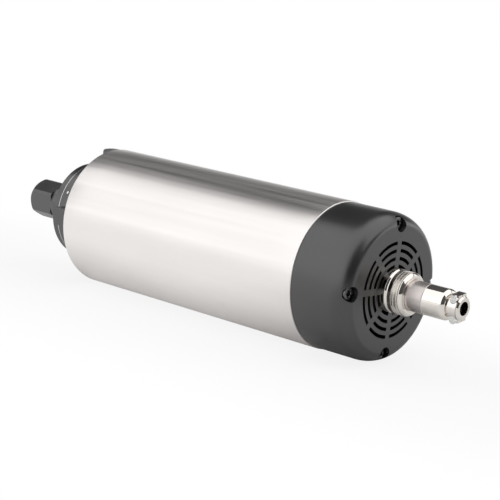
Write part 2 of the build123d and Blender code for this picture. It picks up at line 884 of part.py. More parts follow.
# Rear cover: domed edge, ringed grille, deep screw wells and posts to the plate
edge_start = (cover_rear - cover_round_long, cover_radius)
edge_stop = (cover_rear, cover_radius - cover_round_deep)
face_inside = cover_rear - cover_face
with BuildPart() as rear_cover:
    with BuildSketch(Plane.XZ):
        inner_radius = cover_radius - cover_wall
        spigot_inside = fit_radius - cover_spigot_thickness
        with BuildLine():
            EllipticalCenterArc(
                (edge_start[0], edge_stop[1]), cover_round_long, cover_round_deep, arc_size=90,
            )
            Polyline(
                edge_start,
                (tube_rear, cover_radius),
                (tube_rear, fit_radius),
                (tube_rear - cover_spigot_length, fit_radius),
                (tube_rear - cover_spigot_length, spigot_inside),
                (tube_rear, spigot_inside),
                (tube_rear + cover_wall / 2, inner_radius),
                (edge_start[0], inner_radius),
                (face_inside, edge_stop[1] - cover_wall / 4),
                (face_inside, connector_thread + connector_hole_gap),
                (cover_rear, connector_thread + connector_hole_gap),
                edge_stop,
            )
        make_face()
    revolve(axis=Axis.X)
    with BuildSketch(across(plate_rear)):
        with PolarLocations(screw_pitch_radius, quarter_turns):
            Circle(post_radius)
        Circle(fit_radius - light_fit, mode=Mode.INTERSECT)
    extrude(amount=face_inside - plate_rear + light_fit)
    with BuildSketch(across(screw_seat)):
        with PolarLocations(screw_pitch_radius, quarter_turns):
            Circle(counterbore_radius)
    extrude(amount=counterbore_depth + 1, mode=Mode.SUBTRACT)
    with BuildSketch(across(plate_rear)):
        with PolarLocations(screw_pitch_radius, quarter_turns):
            Circle(m3_hole)
    extrude(amount=screw_seat - plate_rear, mode=Mode.SUBTRACT)
    with BuildSketch(across(cover_rear)) as grille:
        for number in range(grille_rings):
            outer = grille_outer_radius - number * grille_pitch
            Circle(outer)
            Circle(outer - grille_slot, mode=Mode.SUBTRACT)
        with PolarLocations(0, grille_spokes // 2, 0, 180):
            Rectangle(3 * grille_outer_radius, grille_spoke, mode=Mode.SUBTRACT)
    extrude(amount=-cover_face - 1, mode=Mode.SUBTRACT)
save("rear_cover", rear_cover)

rear_screw_length = screw_seat - core_rear + screw_grip
cover_screws = cap_screws(across(screw_seat), screw_pitch_radius, 0, rear_screw_length)
save("rear_cover_screws", cover_screws)


# Panel socket: threaded on both sides of the cover, held by a nut inside
with BuildPart() as socket_shell:
    revolve(turned(
        (socket_front, connector_bore),
        (socket_front, connector_thread),
        (cover_rear, connector_thread),
        (cover_rear, flange_radius),
        (cover_rear + flange_thickness, flange_radius),
        (cover_rear + flange_thickness, connector_thread),
        (socket_end - thread_start, connector_thread),
        (socket_end, connector_thread - thread_start),
        (socket_end, connector_bore),
    ), axis=Axis.X)
save("socket_shell", socket_shell)

with BuildPart() as socket_nut:
    nut_radius = connector_thread + socket_nut_width
    with BuildSketch(across(face_inside)):
        Circle(nut_radius)
        Circle(connector_thread, mode=Mode.SUBTRACT)
        with PolarLocations(nut_radius, quarter_turns):
            Rectangle(socket_nut_width, socket_nut_length, mode=Mode.SUBTRACT)
    extrude(amount=-socket_nut_length)
save("socket_nut", socket_nut)

with BuildPart() as socket_insulator:
    with BuildSketch(across(insulator_front)):
        Circle(connector_bore)
        with PolarLocations(pin_pitch, pin_count, 45):
            Circle(pin_radius, mode=Mode.SUBTRACT)
    extrude(amount=insulator_end - insulator_front)
save("socket_insulator", socket_insulator)

with BuildPart() as socket_pins:
    pin_back = socket_front - pin_tail
    with BuildSketch(across(pin_back)):
        with PolarLocations(pin_pitch, pin_count, 45):
            Circle(pin_radius)
    extrude(amount=pin_tip - pin_back)
    chamfer(socket_pins.edges().group_by(Axis.X)[-1], pin_round)
save("socket_pins", socket_pins)


# Plug: front shell with its contacts, and the rear shell with the cable clamp
plug_flange_radius = connector_thread - plug_flange_gap
lap_radius = barrel_radius - barrel_wall
with BuildPart() as plug_front_shell:
    revolve(turned(
        (sleeve_front, plug_bore),
        (sleeve_front, sleeve_radius),
        (plug_flange_front, sleeve_radius),
        (plug_flange_front, plug_flange_radius),
        (plug_flange_rear, plug_flange_radius),
        (plug_flange_rear, barrel_radius),
        (barrel_joint - seam_chamfer, barrel_radius),
        (barrel_joint, barrel_radius - seam_chamfer),
        (barrel_joint, lap_radius),
        (barrel_joint + barrel_lap, lap_radius),
        (barrel_joint + barrel_lap, insert_bore),
        (insert_rear, insert_bore),
        (insert_rear, plug_bore),
    ), axis=Axis.X)
save("plug_front_shell", plug_front_shell)

contact_radius = pin_radius + contact_wall
insert_front = sleeve_front + face_gap
with BuildPart() as plug_insulator:
    with BuildSketch(across(insert_front)):
        Circle(plug_bore)
        with PolarLocations(pin_pitch, pin_count, 45):
            Circle(contact_radius, mode=Mode.SUBTRACT)
    extrude(amount=insert_rear - insert_front)
save("plug_insulator", plug_insulator)

with BuildPart() as plug_contacts:
    with BuildSketch(across(insert_front)):
        with PolarLocations(pin_pitch, pin_count, 45):
            Circle(contact_radius)
    extrude(amount=insert_rear - insert_front + contact_tail)
    with BuildSketch(across(insert_front)):
        with PolarLocations(pin_pitch, pin_count, 45):
            Circle(pin_radius + lip_gap)
    extrude(amount=pin_tip - insert_front + end_gap, mode=Mode.SUBTRACT)
save("plug_contacts", plug_contacts)

tilt = radians(clamp_tilt)
clamp_middle = (clamp_start + clamp_end) / 2


def clamp_section(x):
    """Plane square to the axis at x, turned with the clamp: its own y runs from lug to lug."""
    return Plane(origin=(x, 0, 0), x_dir=(0, cos(tilt), sin(tilt)), z_dir=(1, 0, 0))


def clamp_side(height):
    """Plane that faces the way the clamp screws' heads do, at a height off the axis."""
    out = Vector(0, -cos(tilt), -sin(tilt))
    return Plane(origin=Vector(clamp_middle, 0, 0) + out * height, x_dir=(1, 0, 0), z_dir=out)


with BuildPart() as plug_rear_shell:
    with BuildSketch(Plane.XZ):
        with BuildLine():
            round_start = (barrel_end - barrel_round, barrel_radius)
            round_stop = (barrel_end, barrel_end_radius)
            Polyline(
                round_start,
                (barrel_joint + seam_chamfer, barrel_radius),
                (barrel_joint, barrel_radius - seam_chamfer),
                (barrel_joint, 0),
                (tail_end, 0),
                (tail_end, tail_radius - tail_chamfer),
                (tail_end - tail_chamfer, tail_radius),
                (barrel_end + neck_length, tail_radius),
                (barrel_end + neck_length, barrel_end_radius - edge_break),
                (barrel_end, barrel_end_radius - edge_break),
                round_stop,
            )
            TangentArc(round_start, round_stop, tangent=(1, 0))
        make_face()
    revolve(axis=Axis.X)
    with BuildSketch(clamp_section(clamp_start - lip_gap)):
        with Locations((-body_radius / 2, 0)):
            Rectangle(body_radius, body_radius)
    extrude(amount=clamp_length + 2 * lip_gap, mode=Mode.SUBTRACT)
    with BuildSketch(clamp_section(clamp_start)):
        with Locations(((lug_depth + halves_gap) / 2, 0)):
            Rectangle(lug_depth - halves_gap, 2 * lug_reach)
    extrude(amount=clamp_length)
    revolve(turned(
        (barrel_joint - barrel_wall, 0),
        (barrel_joint - barrel_wall, lap_radius),
        (barrel_joint + barrel_lap + face_gap, lap_radius),
        (barrel_joint + barrel_lap + barrel_wall, insert_bore),
        (barrel_end - cable_radius, insert_bore),
        (barrel_end, cable_radius),
        (tail_end + barrel_wall, cable_radius),
        (tail_end + barrel_wall, 0),
    ), axis=Axis.X, mode=Mode.SUBTRACT)
    with BuildSketch(clamp_side(0)):
        with GridLocations(1, 2 * clamp_screw_height, 1, 2):
            Circle(clamp_screw_radius + light_fit)
    extrude(amount=-2 * lug_depth, mode=Mode.SUBTRACT)
save("plug_rear_shell", plug_rear_shell)

with BuildPart() as cable_clamp:
    with BuildSketch(clamp_section(clamp_start)):
        Circle(tail_radius + halves_gap)
        with Locations((-lug_depth / 2, 0)):
            Rectangle(lug_depth, 2 * lug_reach)
        Circle(cable_radius, mode=Mode.SUBTRACT)
        with Locations((body_radius / 2 - halves_gap, 0)):
            Rectangle(body_radius, body_radius, mode=Mode.SUBTRACT)
    extrude(amount=clamp_length)
    with BuildSketch(clamp_side(0)):
        with GridLocations(1, 2 * clamp_screw_height, 1, 2):
            Circle(clamp_screw_radius + light_fit)
    extrude(amount=lug_depth, mode=Mode.SUBTRACT)
    with BuildSketch(clamp_side(lug_depth)):
        with GridLocations(1, 2 * clamp_screw_height, 1, 2):
            Circle(clamp_head_radius + lip_gap)
    extrude(amount=lug_depth, mode=Mode.SUBTRACT)
save("cable_clamp", cable_clamp)

with BuildPart() as clamp_screws:
    with BuildSketch(clamp_side(lug_depth)):
        with GridLocations(1, 2 * clamp_screw_height, 1, 2):
            Circle(clamp_head_radius)
    extrude(amount=clamp_head_height)
    with BuildSketch(clamp_side(lug_depth)):
        with GridLocations(1, 2 * clamp_screw_height, 1, 2):
            Circle(clamp_screw_radius)
    extrude(amount=-2 * lug_depth)
    with BuildSketch(clamp_side(lug_depth + clamp_head_height)):
        with GridLocations(1, 2 * clamp_screw_height, 1, 2):
            Rectangle(2.5 * clamp_head_radius, clamp_driver_slot)
    extrude(amount=-clamp_head_height / 2, mode=Mode.SUBTRACT)
save("cable_clamp_screws", clamp_screws)


# Coupling ring: pulls the plug on to the socket's thread by its flange
rim_radius = ring_band_radius + ring_rim_height
knurl_radius = ring_band_radius + ring_knurl_height
knurl_start = ring_start + ring_knurl_start
knurl_end = knurl_start + ring_knurl_length
with BuildPart() as coupling_ring:
    revolve(turned(
        (ring_start, ring_bore),
        (ring_start, rim_radius - edge_break),
        (ring_start + edge_break, rim_radius),
        (ring_start + ring_rim_length, rim_radius),
        (ring_start + ring_rim_length + edge_break, ring_band_radius),
        (knurl_start, ring_band_radius),
        (knurl_start, knurl_radius),
        (knurl_end, knurl_radius),
        (knurl_end, ring_band_radius),
        (ring_end - ring_chamfer, ring_band_radius),
        (ring_end, ring_band_radius - ring_chamfer),
        (ring_end, barrel_radius + ring_lip_gap),
        (ring_lip_front, barrel_radius + ring_lip_gap),
        (ring_lip_front, ring_bore),
    ), axis=Axis.X)
save("coupling_ring", coupling_ring)
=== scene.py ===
# %% [markdown]
# # An air-cooled milling spindle, dressed for the camera
# A milling spindle is a slim motor in a polished steel tube, with a collet nut at one end and a
# round connector at the other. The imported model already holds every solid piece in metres, so
# this lesson only gives them their finishes and rebuilds the few pieces whose surface is finer
# than the solids, such as knurls, screw threads and the mirror sweep of the tube.

# %% Load the fixed model
import json
import math

import bmesh
import bpy
import numpy as np
from mathutils import Matrix


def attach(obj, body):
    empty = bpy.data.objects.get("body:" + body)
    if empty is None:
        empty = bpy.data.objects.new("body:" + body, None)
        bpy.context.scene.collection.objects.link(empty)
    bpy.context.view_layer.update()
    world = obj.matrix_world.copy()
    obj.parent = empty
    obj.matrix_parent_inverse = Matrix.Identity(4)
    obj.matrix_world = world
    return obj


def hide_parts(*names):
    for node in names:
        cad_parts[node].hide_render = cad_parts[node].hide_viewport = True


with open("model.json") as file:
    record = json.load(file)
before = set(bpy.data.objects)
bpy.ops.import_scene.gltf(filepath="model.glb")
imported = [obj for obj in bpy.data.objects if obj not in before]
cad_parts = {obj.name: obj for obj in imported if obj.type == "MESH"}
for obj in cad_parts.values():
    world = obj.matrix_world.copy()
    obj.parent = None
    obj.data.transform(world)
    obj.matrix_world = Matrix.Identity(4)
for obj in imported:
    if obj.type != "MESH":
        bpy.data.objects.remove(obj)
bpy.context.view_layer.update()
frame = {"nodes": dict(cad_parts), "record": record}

# %% [markdown]
# ## Camera
# Product photographs of long parts use a long lens, so that the far end isn't much smaller. The
# place and turn of the camera were worked out from the two rims of the tube and the circle of
# screw wells. A matrix sets all of it at once, with no constraint to keep.

# %% Camera
camera_place = (0.4605, -0.5224, 0.1174)
image_right = (0.745668, 0.656196, 0.115705)
image_up = (-0.197276, 0.051551, 0.978993)
towards_viewer = (0.636445, -0.752829, 0.167891)

camera_data = bpy.data.cameras.new("photo_camera")
camera_data.sensor_width = 36.0
camera_data.lens = 111.317
camera = bpy.data.objects.new("photo_camera", camera_data)
camera_turn = Matrix((image_right, image_up, towards_viewer)).transposed().to_4x4()
camera.matrix_world = Matrix.Translation(camera_place) @ camera_turn
scene = bpy.context.scene
scene.collection.objects.link(camera)
scene.camera = camera
scene.view_settings.view_transform = "Standard"
print("camera", camera_data.lens, "mm")

# %% [markdown]
# ## Building node trees
# Every finish below is one Principled shader. What is the same all over goes straight onto its
# sockets, and what varies comes from noise or waves on Object coordinates, which are metres here.
# A scale of 1000 therefore gives grains of about a millimetre.


# %% Shader helpers
def add_node(material, kind, links=(), **settings):
    """A node of that kind. Links are (input, output socket) pairs, settings are properties."""
    node = material.node_tree.nodes.new(kind)
    for name, value in settings.items():
        setattr(node, name, value)
    for name, output in links:
        material.node_tree.links.new(node.inputs[name], output)
    return node


def start_finish(name, metallic, **sockets):
    """A material whose shader has the given constant sockets, named with underscores for spaces."""
    material = bpy.data.materials.new(name)
    material.use_nodes = True
    shader = material.node_tree.nodes["Principled BSDF"]
    shader.inputs["Metallic"].default_value = metallic
    for socket, value in sockets.items():
        shader.inputs[socket.replace("_", " ")].default_value = value
    return material


def grain(material, scale, detail=3.0):
    """The value of noise squeezed by one scale for each axis, so unequal scales give streaks."""
    place = add_node(material, "ShaderNodeTexCoord")
    mapping = add_node(material, "ShaderNodeMapping", [("Vector", place.outputs["Object"])])
    mapping.inputs["Scale"].default_value = scale
    noise = add_node(material, "ShaderNodeTexNoise", [("Vector", mapping.outputs["Vector"])])
    noise.inputs["Scale"].default_value = 1.0
    noise.inputs["Detail"].default_value = detail
    return noise.outputs["Fac"]


def spread(material, value, low, high, start=0.3, stop=0.7):
    """The value stretched from start...stop to low...high."""
    stretch = add_node(material, "ShaderNodeMapRange", [("Value", value)])
    stretch.inputs["From Min"].default_value = start
    stretch.inputs["From Max"].default_value = stop
    stretch.inputs["To Min"].default_value = low
    stretch.inputs["To Max"].default_value = high
    return stretch.outputs["Result"]


def feed(material, socket, output):
    """Drives one socket of the material's shader with the output of another node."""
    shader = material.node_tree.nodes["Principled BSDF"]
    material.node_tree.links.new(shader.inputs[socket], output)


def tint(material, value, one, other):
    """Base colour that goes from one colour to the other with the value."""
    mix = add_node(material, "ShaderNodeMix", [("Factor", value)], data_type="RGBA")
    mix.inputs["A"].default_value = (*one, 1.0)
    mix.inputs["B"].default_value = (*other, 1.0)
    feed(material, "Base Color", mix.outputs["Result"])


def polish(material, value, low, high):
    """Roughness that varies with the value between low and high."""
    feed(material, "Roughness", spread(material, value, low, high))


def relief(material, value, depth):
    """Bump of that depth in metres."""
    bump = add_node(material, "ShaderNodeBump", [("Height", value)])
    bump.inputs["Distance"].default_value = depth
    bump.inputs["Strength"].default_value = 1.0
    feed(material, "Normal", bump.outputs["Normal"])


finishes = {}
print("shader helpers ready")

# %% [markdown]
# ## The polished tube
# The body is a drawn stainless tube, polished along its length. It reflects a large softbox as a
# broad white field with soft edges, and keeps faint streaks along the axis and cloudy patches
# from handling. Long streaks are noise that is squeezed across the axis and stretched along it.
# The roughness starts at 0.285, because a range that crosses about 0.27 leaves dotted marks on
# so large a surface once the render's noise is cleaned.

# %% Stainless steel
steel = start_finish("polished_stainless", 1.0)
cloud = grain(steel, (28.0, 55.0, 55.0), 4.0)
streak = grain(steel, (8.0, 380.0, 380.0), 3.0)
tint(steel, cloud, (0.815, 0.782, 0.766), (0.87, 0.84, 0.825))
polish(steel, streak, 0.285, 0.4)
relief(steel, streak, 0.000003)
finishes["tube_steel"] = steel
print("tube:", steel.name)

# %% [markdown]
# ## Black coats
# The three black coats share one satin gloss, and get their depth from it, not from a lighter
# colour. What sets them apart is mostly the tooth: coarsest on the anodised nose and disc, finer
# on the rear cover and finest in the oxide skin of the collet nut. The screws' oxide is thin
# enough to let the steel through, so it is a dark metal.


# %% Black coats
def black_coat(name, colour, index, tooth):
    """A dark, non-metallic coat: even noise as a tooth of that depth, and patches in its gloss."""
    coat = start_finish(name, 0.0, IOR=index)
    fine = grain(coat, (2600.0, 2600.0, 2600.0), 2.0)
    patch = grain(coat, (70.0, 70.0, 70.0), 5.0)
    tint(coat, patch, colour, tuple(1.4 * channel for channel in colour))
    polish(coat, patch, 0.28, 0.34)
    relief(coat, fine, tooth)
    return coat


def turned_steel(name, colour, other, low, high, marks=5200.0, depth=0.0000012):
    """Metal with turning marks: noise that is fine along the axis and wide around it."""
    turned = start_finish(name, 1.0)
    mark = grain(turned, (marks, 60.0, 60.0), 3.0)
    patch = grain(turned, (160.0, 160.0, 160.0), 4.0)
    tint(turned, patch, colour, other)
    polish(turned, mark, low, high)
    relief(turned, mark, depth)
    return turned


finishes["black_housing"] = black_coat("anodised_black", (0.008, 0.008, 0.0088), 1.95, 0.0000015)
finishes["black_cover"] = black_coat("coated_black", (0.007, 0.007, 0.0078), 1.9, 0.0000012)
finishes["black_oxide"] = black_coat("black_oxide", (0.009, 0.009, 0.01), 2.0, 0.0000004)
finishes["screw_steel"] = turned_steel(
    "oxided_screws", (0.1, 0.1, 0.105), (0.17, 0.17, 0.175), 0.2, 0.34)
print("black coats:", [name for name in finishes if name != "tube_steel"])

# %% [markdown]
# ## A painted glint on the nose
# A thin band of light metal is painted round the front edge of the nose, a painted glint in place
# of the highlight that its chamfer catches. Its place along the axis picks it out: a Compare node
# gives 1 where X is within half the band's width of its middle, and that drives colour and metal.

# %% Painted glint on the nose's edge
edge_middle, edge_half_width = -0.08424, 0.00035
nose_coat = finishes["black_housing"]
nose_place = add_node(nose_coat, "ShaderNodeTexCoord")
nose_axis = add_node(nose_coat, "ShaderNodeSeparateXYZ", [("Vector", nose_place.outputs["Object"])])
glint_mask = add_node(nose_coat, "ShaderNodeMath", [(0, nose_axis.outputs["X"])], operation="COMPARE")
glint_mask.inputs[1].default_value = edge_middle
glint_mask.inputs[2].default_value = edge_half_width
nose_shader = nose_coat.node_tree.nodes["Principled BSDF"]
coat_colour = nose_shader.inputs["Base Color"].links[0].from_socket
# Painted glint: a light metal colour on the edge band stands in for the highlight on the chamfer.
painted_glint = add_node(
    nose_coat, "ShaderNodeMix", [("Factor", glint_mask.outputs["Value"]), ("A", coat_colour)],
    data_type="RGBA")
painted_glint.inputs["B"].default_value = (0.72, 0.71, 0.7, 1.0)
feed(nose_coat, "Base Color", painted_glint.outputs["Result"])
feed(nose_coat, "Metallic", glint_mask.outputs["Value"])
print("bare edge on", nose_coat.name, "at", edge_middle)

# %% [markdown]
# ## Bright plating
# The connector is brass with bright nickel plate, a little warmer than steel, and its barrel has
# a satin front half. Small fasteners are zinc plated. Polished plate is nearly a mirror, so its
# tiny ripples matter more than its colour.

# %% Plating
finishes["nickel"] = turned_steel(
    "bright_nickel", (0.83, 0.78, 0.72), (0.9, 0.86, 0.81), 0.05, 0.11, 2600.0, 0.0000005)
finishes["satin_nickel"] = turned_steel(
    "satin_nickel", (0.74, 0.68, 0.65), (0.8, 0.745, 0.715), 0.3, 0.4, 3800.0, 0.0000012)
finishes["plated_steel"] = turned_steel(
    "zinc_plate", (0.72, 0.72, 0.7), (0.82, 0.82, 0.81), 0.16, 0.27, 3000.0, 0.000001)
print("plating ready")

# %% [markdown]
# ## Turned and ground steel
# The shaft is ground, so its marks run round the axis and are very fine. The races, the balls
# and the collet are lapped, and brighter.

# %% Ground steel
finishes["shaft_steel"] = turned_steel(
    "ground_shaft", (0.6, 0.6, 0.61), (0.7, 0.7, 0.71), 0.2, 0.33, 4600.0, 0.0000015)
finishes["bearing_steel"] = turned_steel(
    "lapped_steel", (0.76, 0.76, 0.77), (0.83, 0.83, 0.84), 0.08, 0.16, 4200.0, 0.0000005)
print("ground steel ready")

# %% [markdown]
# ## Stack and winding
# The stator and rotor are stacks of half-millimetre sheets, so thin dark lines cross the axis.
# The winding is enamelled wire, and its bands run slantwise, so that they show on the bundles
# and on their end turns alike. A wave texture draws both, because its bands are even, as sheets
# and wires are.


# %% Stack and winding
def banded(name, metallic, direction, pitch, one, other, low, high, depth):
    """Even bands across one direction, pitch metres apart. A wave repeats every 2 pi / 20 units."""
    material = start_finish(name, metallic)
    place = add_node(material, "ShaderNodeTexCoord")
    wave = add_node(
        material, "ShaderNodeTexWave", [("Vector", place.outputs["Object"])],
        wave_type="BANDS", bands_direction=direction)
    wave.inputs["Scale"].default_value = 2 * math.pi / 20 / pitch
    wave.inputs["Distortion"].default_value = 0.4
    tint(material, spread(material, wave.outputs["Fac"], 0.0, 1.0, 0.05, 0.6), one, other)
    polish(material, grain(material, (900.0, 900.0, 900.0)), low, high)
    relief(material, wave.outputs["Fac"], depth)
    return material


finishes["lamination_steel"] = banded(
    "sheet_stack", 1.0, "X", 0.0005, (0.16, 0.16, 0.17), (0.46, 0.46, 0.48),
    0.34, 0.46, 0.00003)
finishes["copper_winding"] = banded(
    "enamelled_wire", 0.85, "DIAGONAL", 0.0009, (0.3, 0.1, 0.035), (0.72, 0.31, 0.12),
    0.2, 0.32, 0.00015)
print("stack and winding ready")

# %% [markdown]
# ## Aluminium, plastics and brass
# The finned core is extruded, so in place of turning marks it has broad patches, a little
# longer along the axis. The bearing plate and rotor rings are castings with an orange-peel skin.
# The fan is moulded nylon, the connector inserts are glass-filled resin, the bearing cages are
# resin too, and the contacts are gold flashed.


# %% Aluminium, plastics and brass
def moulded(name, colour, other, low, high, size, depth, metallic=0.0):
    """A moulded or cast skin: one even noise for colour, gloss and a shallow peel."""
    material = start_finish(name, metallic)
    skin = grain(material, (size, size, size), 3.0)
    tint(material, skin, colour, other)
    polish(material, skin, low, high)
    relief(material, skin, depth)
    return material


finishes["aluminium"] = turned_steel(
    "extruded_aluminium", (0.66, 0.66, 0.67), (0.76, 0.76, 0.77), 0.28, 0.42, 40.0, 0.000002)
finishes["cast_aluminium"] = moulded(
    "cast_aluminium", (0.6, 0.6, 0.61), (0.7, 0.7, 0.71), 0.38, 0.5, 900.0, 0.00002, 1.0)
finishes["black_nylon"] = moulded(
    "moulded_nylon", (0.018, 0.018, 0.019), (0.03, 0.03, 0.032), 0.38, 0.52, 1800.0, 0.000008)
finishes["insulator_black"] = moulded(
    "filled_resin", (0.02, 0.02, 0.021), (0.034, 0.034, 0.035), 0.4, 0.55, 2200.0, 0.000006)
finishes["cage_resin"] = moulded(
    "cage_resin", (0.42, 0.3, 0.17), (0.52, 0.39, 0.24), 0.35, 0.48, 1500.0, 0.000006)
finishes["contact_brass"] = turned_steel(
    "flashed_brass", (0.88, 0.66, 0.3), (0.95, 0.76, 0.42), 0.14, 0.24, 3000.0, 0.0000008)
print(len(finishes), "finishes")

# %% [markdown]
# ## Finishes on the solid pieces
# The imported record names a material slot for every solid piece. The finishes above are kept
# under those names, so each piece is given its own without a list to maintain. The meshes stay
# as they are.

# %% Put the finishes on the solid pieces
for part in frame["record"]["subparts"]:
    finish = finishes[part["material_slot"]]
    for material_slot in frame["nodes"][part["node"]].material_slots:
        material_slot.material = finish

# %% [markdown]
# ## Turned surfaces
# A lathe piece is its profile swept round the axis. Written as arrays, a piece is a table of
# radii with one row for each station of the profile and one column for each angle, so a knurl or
# a thread is only a change of radius that depends on both. That is quicker and more exact than
# cutting hundreds of grooves with modifiers.


# %% Surface helpers
def along_profile(corners, step, fine_step=0.09, loop=True):
    """Stations along a profile: each straight run is divided evenly, at most a step apart.

    A run whose first corner has a third value, "fine", gets the fine step. A loop comes back to
    its first corner, and an open profile ends at its last one. Returns x and r for each row."""
    rows = []
    ends = corners[1:] + corners[:1] if loop else corners[1:]
    for (x_from, r_from, *run), (x_to, r_to, *_) in zip(corners, ends):
        length = math.hypot(x_to - x_from, r_to - r_from)
        count = max(1, math.ceil(length / (fine_step if run else step)))
        share = np.arange(count) / count
        x, r = x_from + share * (x_to - x_from), r_from + share * (r_to - r_from)
        rows.append(np.column_stack((x, r)))
    if not loop:
        rows.append(np.array([corners[-1][:2]]))
    return np.vstack(rows)


def column_angles(count):
    """That many angles, spread evenly over a full turn."""
    return np.arange(count) * 2 * math.pi / count


def radius_table(corners, columns, step, fine_step=0.09, loop=True):
    """The start of a turned piece: x of each row, angle of each column, and a radius for both."""
    rows = along_profile(corners, step, fine_step, loop)
    return rows[:, :1], column_angles(columns), np.repeat(rows[:, 1:], columns, axis=1)


def turned_piece(name, x, radii, body, slot_name, loop=True, centres=((0.0, 0.0),)):
    """Sweeps rows of radii round the X axis, once about each centre.

    The point of row i at angle a is (x_i, y + r cos a, z + r sin a). Columns wrap round, and so do
    the rows of a loop. An open profile starts and ends on the axis, where its points are merged
    into one pole. Faces look outwards."""
    row_count, column_count = radii.shape
    angle = column_angles(column_count)
    middle = np.array(centres).reshape(-1, 1, 1, 2)
    points = np.empty((len(middle), row_count, column_count, 3))
    points[..., 0] = x.reshape(row_count, -1)
    points[..., 1] = middle[..., 0] + radii * np.cos(angle)
    points[..., 2] = middle[..., 1] + radii * np.sin(angle)
    number = np.arange(points[..., 0].size).reshape(points.shape[:3])
    next_row = np.roll(number, -1, axis=1)
    quads = np.stack(
        (number, np.roll(number, -1, axis=2), np.roll(next_row, -1, axis=2), next_row), axis=-1)
    if not loop:
        quads = quads[:, :-1]

    mesh = bpy.data.meshes.new(name)
    mesh.from_pydata((points.reshape(-1, 3) / 1000).tolist(), [], quads.reshape(-1, 4).tolist())
    if not loop:
        poles = bmesh.new()
        poles.from_mesh(mesh)
        bmesh.ops.remove_doubles(poles, verts=poles.verts, dist=1e-7)
        poles.to_mesh(mesh)
        poles.free()
    mesh.polygons.foreach_set("use_smooth", np.ones(len(mesh.polygons), dtype=bool))
    mesh.set_sharp_from_angle(angle=math.radians(32))
    mesh.materials.append(finishes[slot_name])
    piece = bpy.data.objects.new(name, mesh)
    scene.collection.objects.link(piece)
    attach(piece, body)
    print(name, len(mesh.polygons), "faces")
    return piece


def saw(value):
    """Straight slopes from 0 at each whole number, a groove, up to 1 half way to the next."""
    return 1 - np.abs(2 * (value - np.floor(value)) - 1)


def thread_depth(x, angle, start, stop, pitch, depth, run_out):
    """How far a thread cuts in, with one turn for each pitch.

    It is the depth times one less the saw of the turns, which is raised by half and held to 1, so
    that the crests are flat. It fades to nothing over run_out at both ends."""
    cut = depth * (1 - np.clip(1.5 * saw(x / pitch + angle / (2 * math.pi)), 0, 1))
    fade = np.clip(np.minimum(x - start, stop - x) / run_out, 0, 1)
    return cut * fade


margin = 0.01
print("surface helpers ready, rows within", margin, "mm of an edge count as on it")

# %% [markdown]
# ## Coupling ring
# The ring that pulls the plug home is turned from brass, knurled with a diamond tool and plated.
# From the motor side it has a bright rim, a hollow band, the knurl, and a polished shoulder that
# slopes down to the barrel. Two families of grooves that wind opposite ways leave the diamonds
# between them, so the height of the knurl is the lower of two saws. With 640 columns, each of
# the 80 diamonds round the ring has eight, and the piece stays under 200,000 triangles.

# %% Coupling ring
knurl_start, knurl_stop, knurl_crest, knurl_height = 104.1, 107.3, 9.35, 0.26
diamonds_round, diamond_length, knurl_run_out = 80, 0.73, 0.12
ring_bore = 8.0
ring_profile = [
    (100.7, ring_bore), (100.7, 9.28), (100.78, 9.44), (100.92, 9.5), (101.12, 9.5),
    (101.26, 9.42), (101.5, 9.2), (101.8, 9.02), (102.2, 8.9), (102.7, 8.86), (103.3, 8.92),
    (103.8, 9.08), (104.05, 9.2), (knurl_start, knurl_crest, "fine"), (knurl_stop, knurl_crest),
    (107.36, 9.18), (107.5, 9.25), (107.8, 9.25), (108.05, 9.18), (108.35, 8.98),
    (108.75, 8.62), (109.05, 8.32), (109.2, 8.1), (109.2, 7.35), (109.05, 7.25), (109.05, 6.95),
    (109.2, 6.85), (109.2, 6.72), (107.9, 6.72), (107.9, ring_bore, "fine"),
]
ring_x, ring_angle, ring_radius = radius_table(ring_profile, 640, 0.4, 0.1)
turns_round = diamonds_round * ring_angle / (2 * math.pi)
turns_along = ring_x / diamond_length
diamond = np.minimum(saw(turns_round + turns_along), saw(turns_round - turns_along))
knurl_fade = np.clip(np.minimum(ring_x - knurl_start, knurl_stop - ring_x) / knurl_run_out, 0, 1)
knurl = knurl_crest - knurl_height + knurl_height * np.clip(1.3 * diamond, 0, 1) * knurl_fade
knurled = ((ring_radius > knurl_crest - margin)
           & (ring_x > knurl_start - margin) & (ring_x < knurl_stop + margin))
ring_radius = np.where(knurled, knurl, ring_radius)
ring_radius += (np.abs(ring_radius - ring_bore) < margin) * thread_depth(
    ring_x, ring_angle, start=101.0, stop=106.6, pitch=1.0, depth=0.45, run_out=0.5)
coupling_ring = turned_piece("knurled_ring", ring_x, ring_radius, "coupling_ring", "nickel")
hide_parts("coupling_ring")

# %% [markdown]
# ## Panel socket
# The socket's thread shows once the ring is unscrewed. It is the same helix, cut from outside
# into a plain shell with a flange.

# %% Panel socket
socket_profile = [
    (89.5, 6.5), (89.5, 7.95), (99.0, 7.95), (99.0, 8.9), (99.1, 9.0), (100.25, 9.0),
    (100.4, 8.85), (100.4, 7.95), (105.3, 7.95), (105.6, 7.65), (105.6, 6.5),
]
socket_x, socket_angle, socket_radius = radius_table(socket_profile, 192, 0.12)
outside = socket_radius > 7.6
socket_radius = socket_radius - outside * thread_depth(
    socket_x, socket_angle, start=100.5, stop=105.6, pitch=1.0, depth=0.45, run_out=0.3)
socket_piece = turned_piece("threaded_socket", socket_x, socket_radius, "housing", "nickel")
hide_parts("socket_shell")

# %% [markdown]
# ## Shaft
# The shaft is one ground piece: taper for the collet, thread for its nut, a collar for the
# wrench ring, and the seats of the bearings, rotor and fan. Only the thread needs the fine
# rows, so the other runs get long ones.

